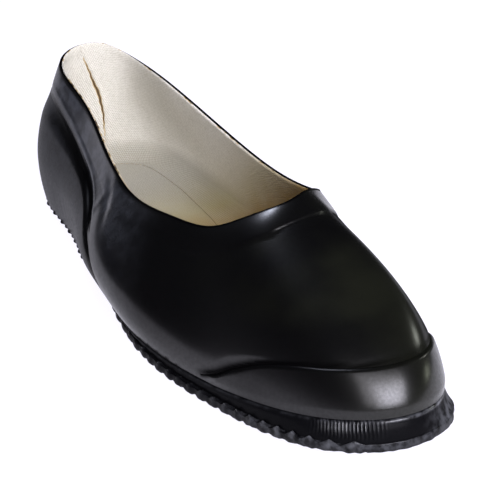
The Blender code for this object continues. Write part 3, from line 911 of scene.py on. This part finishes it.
class SHOE_OT_foxing(ShoePiece, bpy.types.Operator):
    """Makes the foxing strip with its bead and the fine upright ribs round the toe"""

    bl_idname = "shoe.foxing"
    bl_label = "Foxing"

    STEP, UP = 0.23 * MM, 17
    RIB_PITCH, RIB_DEPTH = 1.4 * MM, 0.6 * MM
    # Rows with upright ribs, rows with a bare bead, and rows over which the toe's profile comes in
    RIBBED_ROWS = (6.95, 7.35, 7.65, 7.92)
    BARE_ROWS = (7.7, 7.95, 8.6, 9.0)
    TOE_ROWS = (6.4, 7.2)
    # Bead under the top edge, the strip's least thickness, and how far its top edge is rounded
    BEAD_MIDDLE, BEAD_WIDTH = 0.7 * MM, 0.5 * MM
    LEAST, ROUNDED = 0.3 * MM, 0.4 * MM

    def execute(self, context):
        self.prepare(context)
        last = self.last
        row = even_rows(last, self.STEP, TOE_ROW - FOXING_HALF, TOE_ROW + FOXING_HALF)
        place = row[:, None]
        high = smooth_line(FOXING_LINE, rows_from_toe(place)) * MM
        share = np.linspace(0, 1, self.UP)[None]
        height = high * share
        down = high - height
        along = way(last.feather(row))[:, None]
        ribs = 0.5 + 0.5 * np.cos(2 * np.pi * along / self.RIB_PITCH)
        ribbed = span(place, *self.RIBBED_ROWS)
        bead = bell(down, self.BEAD_MIDDLE, self.BEAD_WIDTH)
        bare_bead = span(place, *self.BARE_ROWS) * bead
        face = self.stand_off(place, share, down, bead, bare_bead, ribs * ribbed)
        places = last.share_at(row, height)
        front = last.wall(row, places, face)
        back = last.wall(row, places[:, ::8], -0.3 * MM)[:, ::-1]
        sections = np.concatenate([front, back], axis=1)
        sections[..., 2] = np.maximum(sections[..., 2], last.seat(sections[..., 0]) - 0.2 * MM)
        grooves = (1 - ribs) * ribbed
        # Grey over the black: a painted reflection towards the lip's point, painted highlights on the bead
        # and the ribs' upper tops, with a little bloom
        point = 0.7 * lip_point(place) * (1 - 0.6 * share)
        bloom = 0.1 * bead + 0.5 * bare_bead + 0.3 * grooves * share ** 2 + point
        uneven = 0.6 + 0.4 * np.sin(along / (2.3 * MM)) * np.sin(along / (0.77 * MM))
        spark = 0.9 * uneven * bell(place, 7.5, 0.3)
        tops = spark * grooves * smooth_step(share, 0.4, 0.7) + bare_bead
        gloss = 0.02 + 0.95 * np.clip(tops, 0, 1)
        plain = np.zeros(back.shape[:2])
        values = {"bloom": np.hstack([bloom, plain]), "gloss": np.hstack([gloss, plain])}
        mesh = loft("foxing_strip", sections, False, values)
        add_piece(mesh, shared_material(moulded_rubber, self.colours), "foxing", SHARP_SOLE)
        return {"FINISHED"}

    def stand_off(self, place, share, down, bead, bare_bead, ribs):
        """How far the strip stands off the wall: thin at the sides, ribbed and drawn out at the toe."""
        thick, lip = self.sizes.foxing, lip_reach(place)
        side_face = thick * (0.2 + 0.4 * smooth_step(down, 0, 2.6 * MM)) + 0.1 * MM * bead
        toe_face = self.LEAST + (0.6 * thick + lip) * (1 - share ** 2) + 0.45 * MM * bare_bead
        face = side_face + (toe_face - side_face) * smooth_step(place, *self.TOE_ROWS)
        face = face - self.RIB_DEPTH * ribs * span(share, 0.1, 0.55, 0.84, 0.96)
        run_out = self.LEAST + (thick + lip) * (1 - share) ** 2.2
        face = face + (run_out - face) * lip_point(place)
        return face * np.sqrt(np.clip(down / self.ROUNDED, 0.04, 1))


class Tread:
    """Cross ribs of the forefoot or the heel: where they run and how high they stand."""

    def __init__(self, start, end, count, depth, base):
        self.start, self.end = start, end
        self.pitch = (end - start) / count
        self.depth = depth
        self.base = base

    def phase(self, x):
        """Place along the pitch, from 0 to 1."""
        return ((x - self.start) / self.pitch) % 1.0

    def within(self, x):
        """One where the ribs are and zero past their ends."""
        return ((x > self.start) & (x < self.end)).astype(float)

    def crest(self, x):
        """One on the crest of a rib and zero in a groove."""
        return 1 - (1 - span(self.phase(x), 0.14, 0.42, 0.80, 1.0)) * self.within(x)

    def point(self, x):
        """Pointed wave: one over the middle of a rib and zero over the middle of a groove."""
        return 1 - 2 * np.abs((self.phase(x) - 0.11) % 1.0 - 0.5)

    def bottom(self, x, y):
        """Walking face, with small teeth on the rear edge of every rib."""
        p = self.phase(x)
        teeth = 0.5 + 0.5 * np.sin(2 * np.pi * (y / (2.1 * MM) + 1.1 * p))
        worn_and_shaded = 0.30 * teeth * span(p, 0.22, 0.4, 0.52, 0.66) * self.within(x)
        return self.base(x) + self.depth * np.clip(1 - self.crest(x) + worn_and_shaded, 0, 1)


class SolePiece(ShoePiece):
    """Outline of the sole and the two solids that a ribbed sole is made of."""

    # Rows from the toe tip over which the edge changes from the toe's look to the sides'
    TOE_END = (1.2, 2.6)
    END_GAP = 0.4 * MM
    EDGE_POINTS = 30

    def outline(self, inset):
        """Outer and inner edge from heel to toe, inside the sole's own edge by an inset."""
        row = np.arange(0, ROWS, ROW_STEP)
        foot = self.last.feather(row)[:, 0]
        reach = smooth_line(SOLE_REACH, foot / self.sizes.length) * MM
        return two_edges(self.last.feather(row, reach - inset))

    def plate(self, name, stations, tread, top):
        """Inner part of the sole: its ribbed walking face between the two edge strips."""
        y = across(self.outline(self.INSET), stations, self.ACROSS)
        x = np.tile(stations[:, None], (1, self.ACROSS))
        face = np.stack([x, y, tread.bottom(x, y)], axis=2)
        ceiling = face[:, [-1, 0]].copy()
        ceiling[..., 2] = top(ceiling[..., 0])
        sections = np.concatenate([face, ceiling], axis=1)
        bloom = np.hstack([0.7 * tread.crest(x), np.zeros((len(stations), 2))])
        return loft(name, sections, False, {"bloom": bloom, "gloss": np.full(bloom.shape, 0.5)})

    @staticmethod
    def ragged(x, y):
        """Small unevenness of the sole's edge, in millimetres."""
        wavy = 0.12 * np.sin(x / (1.7 * MM) + 3 * np.sin(y / (4 * MM)))
        return wavy + 0.08 * np.sin((x + y) / (0.9 * MM))

    def strip(self, name, row, closed, tread, top, tooth):
        """Edge of the sole: the ends of the ribs rise round it as low teeth and stand out from it."""
        last, sizes = self.last, self.sizes
        columns = last.columns(row)
        reach = smooth_line(SOLE_REACH, columns["foot_x"] / sizes.length) * MM + lip_reach(row)
        edge = last.feather(row, reach)
        x, y = edge[:, 0], edge[:, 1]
        out_x, out_y = last.outward(row, "foot")
        ribbed = tread.within(x) * smooth_step(np.abs(out_y), 0.05, 0.4) * (1 - lip_point(row))
        hollow = (1 - tread.crest(x)) * ribbed
        point = tread.point(x)
        uneven = self.ragged(x, y) * (1 + 1.5 * lip_point(row)) * MM
        out = self.NUB * (point - 0.5) * ribbed + uneven
        under = out * self.UNDER
        floor = tread.base(x)
        toe = fall(rows_from_toe(row % ROWS), *self.TOE_END)
        bumps = 0.5 + 0.5 * np.sin(x / (0.8 * MM) + 2 * np.sin(y / (1.9 * MM)))
        low = floor + (0.4 - 0.2 * toe) * tread.depth * hollow + 0.35 * MM * toe * bumps
        sharp = 4.5 - 3.1 * toe
        rise = tooth(row) * (point ** sharp - 0.2) * ribbed
        high = top(x) + rise
        lean = rise * columns["bulge"] / columns["rise"]
        tall = high - low
        root = -self.INSET - MM
        profile = (
            (root, floor + tread.depth * hollow), (-3.2 * MM, floor + tread.depth * hollow),
            (-1.4 * MM + 0.5 * under, low + 0.02 * tall), (-0.35 * MM + 0.9 * under, low + 0.13 * tall),
            (0.1 * MM + under, low + 0.34 * tall), (0.05 * MM + out, low + 0.62 * tall),
            (-0.1 * MM + 0.6 * out + lean, high - 0.12 * tall), (-0.4 * MM + lean, high),
            (-1.2 * MM + lean, high - 0.3 * MM), (-2.2 * MM, top(x)), (root, top(x)),
        )
        corners = []
        for beyond, z in profile:
            beyond = np.broadcast_to(beyond, x.shape)
            corners.append(np.stack([x + out_x * beyond, y + out_y * beyond, z], axis=1))
        face = soft_path(np.stack(corners, axis=1), self.EDGE_POINTS)
        share = np.linspace(0, 1, self.EDGE_POINTS)[None]
        # Grey over the black: painted light on the upward faces round the toe and painted highlights on the
        # teeth's tips, with a little bloom
        tips = smooth_step(rise, 0.2 * MM, 1.4 * MM)[:, None] * share ** 2
        upward = smooth_step(share, 0.25, 0.5)
        toe = toe[:, None]
        finish = {"bloom": (0.02 + 0.3 * toe) * upward + 0.6 * tips, "gloss": 0.1 + 0.1 * toe + 0.4 * tips}
        return loft(name, face, closed, finish)

    def add_sole(self, node, plate, strip):
        """Adds the plate, which takes the place of a node, and the strip round it."""
        material = shared_material(moulded_rubber, self.colours)
        add_piece(plate, material, node, SHARP_SOLE)
        add_piece(strip, material, None, SHARP_SOLE)


class SHOE_OT_outsole(SolePiece, bpy.types.Operator):
    """Makes the outsole: ribbed forefoot with its toe spring, plain shank, and the edge round them"""

    bl_idname = "shoe.outsole"
    bl_label = "Outsole"

    # Steps of the mesh across the sole, along the shank and along the forefoot
    ACROSS, PLAIN, RIBBED = 150, 60, 330
    # Width of the edge strip, how far the ribs' ends stand out of it above and below, and its steps
    INSET, NUB, UNDER, EDGE_STEP = 5.5 * MM, 0.4 * MM, 1.0, 0.5 * MM
    TOE_MARGIN = 4 * MM

    def execute(self, context):
        self.prepare(context)
        sizes, last = self.sizes, self.last
        length = sizes.length
        over_heel = HEEL_BLOCK + GAP

        def base(x):
            face = last.seat(x) - PLATE
            return over_heel + (face - over_heel) * smooth_step(x / length, HEEL_BREAST, SHANK_START)

        def top(x):
            return last.seat(x) - GAP

        toe = self.outline(0.0)[0][-1, 0] - self.TOE_MARGIN
        tread = Tread(TREAD_START * length, toe, sizes.tread_ribs, sizes.tread_depth, base)
        inside = self.outline(self.INSET)[0][:, 0]
        plain = np.linspace(inside[0] + self.END_GAP, tread.start, self.PLAIN, endpoint=False)
        ribbed = np.linspace(tread.start, inside[-1] - self.END_GAP, self.RIBBED)
        stations = np.concatenate([plain, ribbed])
        plate = self.plate("outsole_tread", stations, tread, top)
        row = even_rows(last, self.EDGE_STEP)[:-1]
        strip = self.strip("outsole_edge", row, True, tread, top, self.tooth)
        self.add_sole("outsole", plate, strip)
        return {"FINISHED"}

    def tooth(self, row):
        """Height of the teeth over the edge, high round the toe and low along the sides."""
        return (1.1 + 0.9 * fall(rows_from_toe(row), *self.TOE_END)) * MM


class SHOE_OT_heel(SolePiece, bpy.types.Operator):
    """Makes the low heel block with its finer ribs and straight breast"""

    bl_idname = "shoe.heel"
    bl_label = "Heel"

    # Steps of the mesh across and along the heel
    ACROSS, ALONG = 110, 180
    # Width of the edge strip, how far the ribs' ends stand out of it above and below, and its steps
    INSET, NUB, UNDER, EDGE_STEP = 5.0 * MM, 1.3 * MM, 1.6, 0.4 * MM
    MARGIN = 2.4 * MM

    def execute(self, context):
        self.prepare(context)
        sizes, last = self.sizes, self.last
        breast = HEEL_BREAST * sizes.length

        def top(x):
            return np.full_like(x, HEEL_BLOCK)

        rear = self.outline(0.0)[0][0, 0] + self.MARGIN
        tread = Tread(rear, breast - self.MARGIN, sizes.heel_ribs, sizes.heel_tread_depth, np.zeros_like)
        inside = self.outline(self.INSET)[0][:, 0]
        stations = np.linspace(inside[0] + self.END_GAP, breast, self.ALONG)
        plate = self.plate("heel_tread", stations, tread, top)
        row = even_rows(last, self.EDGE_STEP, -TOE_ROW / 2, TOE_ROW / 2)
        row = row[last.feather(row)[:, 0] <= breast]
        strip = self.strip("heel_edge", row, False, tread, top, np.zeros_like)
        self.add_sole("heel", plate, strip)
        return {"FINISHED"}


class SHOE_OT_lining(ShoePiece, bpy.types.Operator):
    """Makes the cotton lining with its back seam, and the insole that it is turned in over"""

    bl_idname = "shoe.lining"
    bl_label = "Lining and insole"

    # How far the lining is turned in over the insole in millimetres, against the share of the length
    TURN_IN = ((0, 2.6), (0.05, 4.5), (0.1, 6.5), (0.22, 7.5), (0.34, 10.5), (1, 10.5))
    # Half width of the open seam in millimetres, against millimetres under the collar
    SEAM_OPEN = ((0, 0.12), (8, 0.22), (14, 0.36), (19, 0.62), (24, 0.75), (29, 0.6), (36, 0.36), (44, 0.22),
                 (60, 0.12))
    HEEL_RUN = 22 * MM
    FILLET = 9 * MM
    # Gap to the rubber behind the cotton, and the half width in rows of the finer mesh round the seam
    BEHIND = 0.02 * MM
    FINE_HALF = 0.54
    # Steps of the mesh over the cut edge, down the face, over the fillet and up the back
    OVER_EDGE, DOWN, OVER_FILLET, UP_BACK = 8, 52, 16, 14
    # Insole: its steps along and across, its gaps to the wall and to the ends, and its crown
    INSOLE_ALONG, INSOLE_ACROSS = 150, 60
    INSOLE_GAP, INSOLE_END, INSOLE_CROWN = 1.2 * MM, 0.4 * MM, 0.5 * MM

    def execute(self, context):
        self.prepare(context)
        sizes, last = self.sizes, self.last
        material = cotton_twill(self.colours)
        side = np.arange(self.FINE_HALF + 0.01, TOE_ROW, 0.035)
        heel = np.arange(-self.FINE_HALF, self.FINE_HALF + 0.005, 0.012)
        row = np.concatenate([-side[::-1], heel, side])
        face, slit = self.wall_face(row)
        edge = self.top_edge(row, face[:, :1])
        foot = self.turned_foot(row, face[:, -1:])
        up = np.tile(np.linspace(0, 1, self.UP_BACK), (len(row), 1))
        back = last.wall(row, up, sizes.lining - sizes.wall - self.BEHIND)
        sections = np.concatenate([edge, face[:, 1:], foot, back], axis=1)
        middle = last.surface(row, np.full((len(row), 1), 0.5))[:, 0]
        along = way(middle)[:, None]
        seam = np.zeros(sections.shape[:2])
        seam[:, edge.shape[1]:edge.shape[1] + face.shape[1] - 1] = slit[:, 1:]
        stitches = 0.5 + 0.5 * np.sin(along / (0.45 * MM))
        seam[:, -back.shape[1] - 2:-back.shape[1]] = 0.03 + 0.15 * stitches
        flecks = np.sin(along / (1.9 * MM)) + np.sin(along / (0.83 * MM) + 1) + np.sin(along / (5.3 * MM))
        near = span(row, 0.9, 1.8, 4.5, 6)[:, None]
        seam[:, :5] = 0.6 * smooth_step(flecks, 0.2, 2.0) + 0.22 * near
        values = {"along": along, "up": way(sections, 1), "seam": seam, **self.wear(sections)}
        mesh = loft("lining_cotton", sections, True, values)
        add_piece(mesh, material, None, SHARP_LINING)
        self.insole(material)
        return {"FINISHED"}

    def wear(self, points):
        """How much painted warm shade of the throat, and painted shade with some soil, the cotton has at
        some points.
        """
        return {"throat": self.throat(points), "soil": self.soil(points)}

    def throat(self, points):
        """How much painted warm shade the cotton has towards the throat: more towards the toe and deep
        inside.
        """
        deep = (45 * MM - points[..., 2]) / self.sizes.length
        return smooth_step(points[..., 0] / self.sizes.length + 1.25 * deep, 0.26, 0.54)

    def soil(self, points):
        """How much painted shade, with some grey soil, the cotton has: much on the insole and low on the
        wall, and a little at the heel.
        """
        heel = fall(points[..., 0] / self.sizes.length, 0.04, 0.2)
        return np.maximum(0.72 * fall(points[..., 2], 14 * MM, 27 * MM), 0.3 * heel)

    def wall_face(self, row):
        """Inner face from the collar to the fillet, parted along the back seam, and where the slit is."""
        sizes, last = self.sizes, self.last
        length = last.length(row)
        below = np.linspace(0, 1, self.DOWN)[None] * (length - self.FILLET)
        jagged = 0.1 * MM * (np.sin(below / (0.7 * MM)) + np.sin(below / (1.9 * MM) + 1))
        off = (row[:, None] - smooth_line(BACK_SEAM, below / MM)) * self.HEEL_RUN + jagged
        open_half = smooth_line(self.SEAM_OPEN, below / MM) * MM
        slit = bell(off, 0, open_half)
        folds = bell(off, 1.5 * MM, 0.8 * MM) + bell(off, -1.6 * MM, 0.9 * MM)
        depth = 0.8 * sizes.lining * slit - 0.22 * MM * folds - sizes.wall
        shown = smooth_step(below, 2 * MM, 10 * MM) * (1 - 0.6 * smooth_step(below, 38 * MM, 48 * MM))
        face = last.wall(row, last.share_at(row, length - below), depth)
        return face, shown * bell(off, 0, 0.8 * open_half)

    def top_edge(self, row, inner):
        """Cut edge of the cotton, rounded over from the rubber to the inner face."""
        sizes = self.sizes
        outer = self.last.wall(row, np.ones((len(row), 1)), sizes.lining - sizes.wall - self.BEHIND)
        turn = np.linspace(0, np.pi, self.OVER_EDGE)[None, :, None]
        edge = (outer + inner) / 2 - (inner - outer) / 2 * np.cos(turn)
        heel = fall(np.abs(row + 0.2), 0.6, 1.6)
        edge[..., 2] += (0.75 + 0.6 * heel)[:, None] * MM * np.sin(turn[..., 0])
        return edge

    def turned_foot(self, row, start):
        """Fillet at the foot of the wall, on to the lining's edge on the insole."""
        sizes, last = self.sizes, self.last
        foot = last.feather(row)
        turn_in = smooth_line(self.TURN_IN, foot[:, 0] / sizes.length) * MM
        lift = np.array((0, 0, sizes.insole + 0.22 * MM))
        corner = (last.feather(row, -sizes.wall - 0.2 * MM) + lift)[:, None]
        hem = (last.feather(row, -sizes.wall - turn_in) + lift)[:, None]
        t = np.linspace(0, 1, self.OVER_FILLET)[None, 1:, None]
        fillet = (1 - t) ** 2 * start + 2 * (1 - t) * t * corner + t * t * hem
        return np.concatenate([fillet, hem - np.array((0, 0, 0.7 * MM))], axis=1)

    def insole(self, material):
        """Inner sole with a slight crown, inside the wall."""
        sizes, last = self.sizes, self.last
        row = np.arange(0, ROWS, ROW_STEP)
        edges = two_edges(last.feather(row, -sizes.wall - self.INSOLE_GAP))
        start, end = edges[0][[0, -1], 0]
        half = (end - start) / 2 - self.INSOLE_END
        x = (end + start) / 2 - half * np.cos(np.linspace(0, np.pi, self.INSOLE_ALONG))
        y = across(edges, x, self.INSOLE_ACROSS)
        share = np.linspace(0, 1, self.INSOLE_ACROSS)[None]
        z = last.seat(x)[:, None] + sizes.insole - self.INSOLE_CROWN * (2 * share - 1) ** 4
        face = np.stack([np.broadcast_to(x[:, None], y.shape), y, z], axis=2)
        under = face[:, [-1, 0]].copy()
        under[..., 2] = last.seat(under[..., 0])
        sections = np.concatenate([face, under], axis=1)
        values = {"along": sections[..., 0], "up": sections[..., 1], "seam": 0.0, **self.wear(sections)}
        mesh = loft("insole_cotton", sections, False, values)
        add_piece(mesh, material, "insole", SHARP_INSOLE)


class SHOE_OT_stage(bpy.types.Operator):
    """Makes the pale floor, the soft lights and the camera"""

    bl_idname = "shoe.stage"
    bl_label = "Stage"

    # Each light's azimuth and elevation in degrees, its distance, its two sides and its colour
    LIGHTS = (
        ("core", 88, 24, 1.3, 0.6, 0.4, (0.86, 0.855, 1.0)),
        ("key", 88, 28, 1.3, 1.1, 0.7, (0.90, 0.89, 1.0)),
        ("wide", 78, 35, 1.6, 1.8, 1.2, (0.96, 0.945, 1.0)),
        ("back", -91, 49, 1.6, 0.35, 0.25, (0.80, 0.84, 1.0)),
        ("side", -178, 26, 1.5, 0.25, 0.2, (0.97, 1.0, 0.90)),
        ("rim", 163, 9, 1.5, 0.3, 0.2, (0.95, 1.0, 0.80)),
    )
    LIGHT_AIM = Vector((0, 0, 0.03))
    FLOOR_HALF = 4.0
    SENSOR_WIDTH = 36.0
    ROOM_COLOUR, ROOM_STRENGTH = (0.9, 0.95, 1.0, 1.0), 0.03

    def execute(self, context):
        scene, stage = context.scene, context.scene.shoe_stage
        self.floor(scene)
        for name, azimuth, elevation, distance, wide, tall, colour in self.LIGHTS:
            turn = self.facing(math.radians(azimuth), math.radians(elevation))
            light = bpy.data.lights.new(name, "AREA")
            light.shape = "RECTANGLE"
            light.size, light.size_y = wide, tall
            light.energy = getattr(stage, name)
            light.color = colour
            self.add(scene, name, light, turn, self.LIGHT_AIM, distance)
        self.camera(scene, stage)
        self.air(scene)
        scene.view_settings.view_transform = "Standard"
        return {"FINISHED"}

    @staticmethod
    def facing(azimuth, elevation, roll=0.0):
        """Axes of something that looks at the shoe from a direction: right, up and back."""
        right = Vector((math.cos(azimuth), math.sin(azimuth), 0))
        level = math.cos(elevation)
        back = Vector((math.sin(azimuth) * level, -math.cos(azimuth) * level, math.sin(elevation)))
        up = back.cross(right)
        c, s = math.cos(roll), math.sin(roll)
        return Matrix((c * right + s * up, c * up - s * right, back)).transposed()

    @staticmethod
    def add(scene, name, data, turn, aim, distance):
        """Object that looks at the aim from its distance."""
        made = bpy.data.objects.new(name, data)
        made.matrix_world = Matrix.Translation(aim + turn.col[2] * distance) @ turn.to_4x4()
        scene.collection.objects.link(made)
        return made

    def camera(self, scene, stage):
        """Camera at the picture's angle to the shoe."""
        data = bpy.data.cameras.new("camera")
        data.sensor_width = self.SENSOR_WIDTH
        data.lens = stage.lens
        turn = self.facing(stage.azimuth, stage.elevation, stage.roll)
        scene.camera = self.add(scene, "camera", data, turn, Vector(stage.aim), stage.distance)

    def floor(self, scene):
        """Pale floor under the sole."""
        mesh = bpy.data.meshes.new("floor")
        build = bmesh.new()
        bmesh.ops.create_grid(build, x_segments=8, y_segments=8, size=self.FLOOR_HALF)
        build.to_mesh(mesh)
        build.free()
        mesh.materials.append(floor_paint(scene.shoe_colours))
        made = bpy.data.objects.new("floor", mesh)
        scene.collection.objects.link(made)

    def air(self, scene):
        """Dim room above the stage."""
        world = bpy.data.worlds.new("room")
        world.use_nodes = True
        ground = world.node_tree.nodes["Background"]
        ground.inputs["Color"].default_value = self.ROOM_COLOUR
        ground.inputs["Strength"].default_value = self.ROOM_STRENGTH
        scene.world = world


class SHOE_PT_panel(bpy.types.Panel):
    """Lists the shoe's pieces in the sidebar"""

    bl_idname = "SHOE_PT_panel"
    bl_label = "Rubber Shoe"
    bl_space_type = "VIEW_3D"
    bl_region_type = "UI"
    bl_category = "Shoe"

    def draw(self, context):
        layout = self.layout
        for operator in OPERATORS:
            layout.operator(operator.bl_idname)
        for group in (context.scene.shoe_sizes, context.scene.shoe_colours, context.scene.shoe_stage):
            box = layout.box()
            for key in group.__annotations__:
                box.prop(group, key)


GROUPS = {"shoe_sizes": ShoeSizes, "shoe_colours": ShoeColours, "shoe_stage": ShoeStage}
OPERATORS = (SHOE_OT_upper, SHOE_OT_overlays, SHOE_OT_foxing, SHOE_OT_outsole, SHOE_OT_heel,
             SHOE_OT_lining, SHOE_OT_stage)
CLASSES = (*GROUPS.values(), *OPERATORS, SHOE_PT_panel)


def register():
    """Makes the add-on's classes known and gives the scene its settings."""
    for item in CLASSES:
        bpy.utils.register_class(item)
    for name, group in GROUPS.items():
        setattr(bpy.types.Scene, name, PointerProperty(type=group))


def unregister():
    """Takes both away again."""
    for name in GROUPS:
        delattr(bpy.types.Scene, name)
    for item in reversed(CLASSES):
        bpy.utils.unregister_class(item)


def main():
    """Registers the add-on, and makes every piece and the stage."""
    register()
    bpy.ops.shoe.upper()
    bpy.ops.shoe.overlays()
    bpy.ops.shoe.foxing()
    bpy.ops.shoe.outsole()
    bpy.ops.shoe.heel()
    bpy.ops.shoe.lining()
    bpy.ops.shoe.stage()


if __name__ == "__main__":
    main()
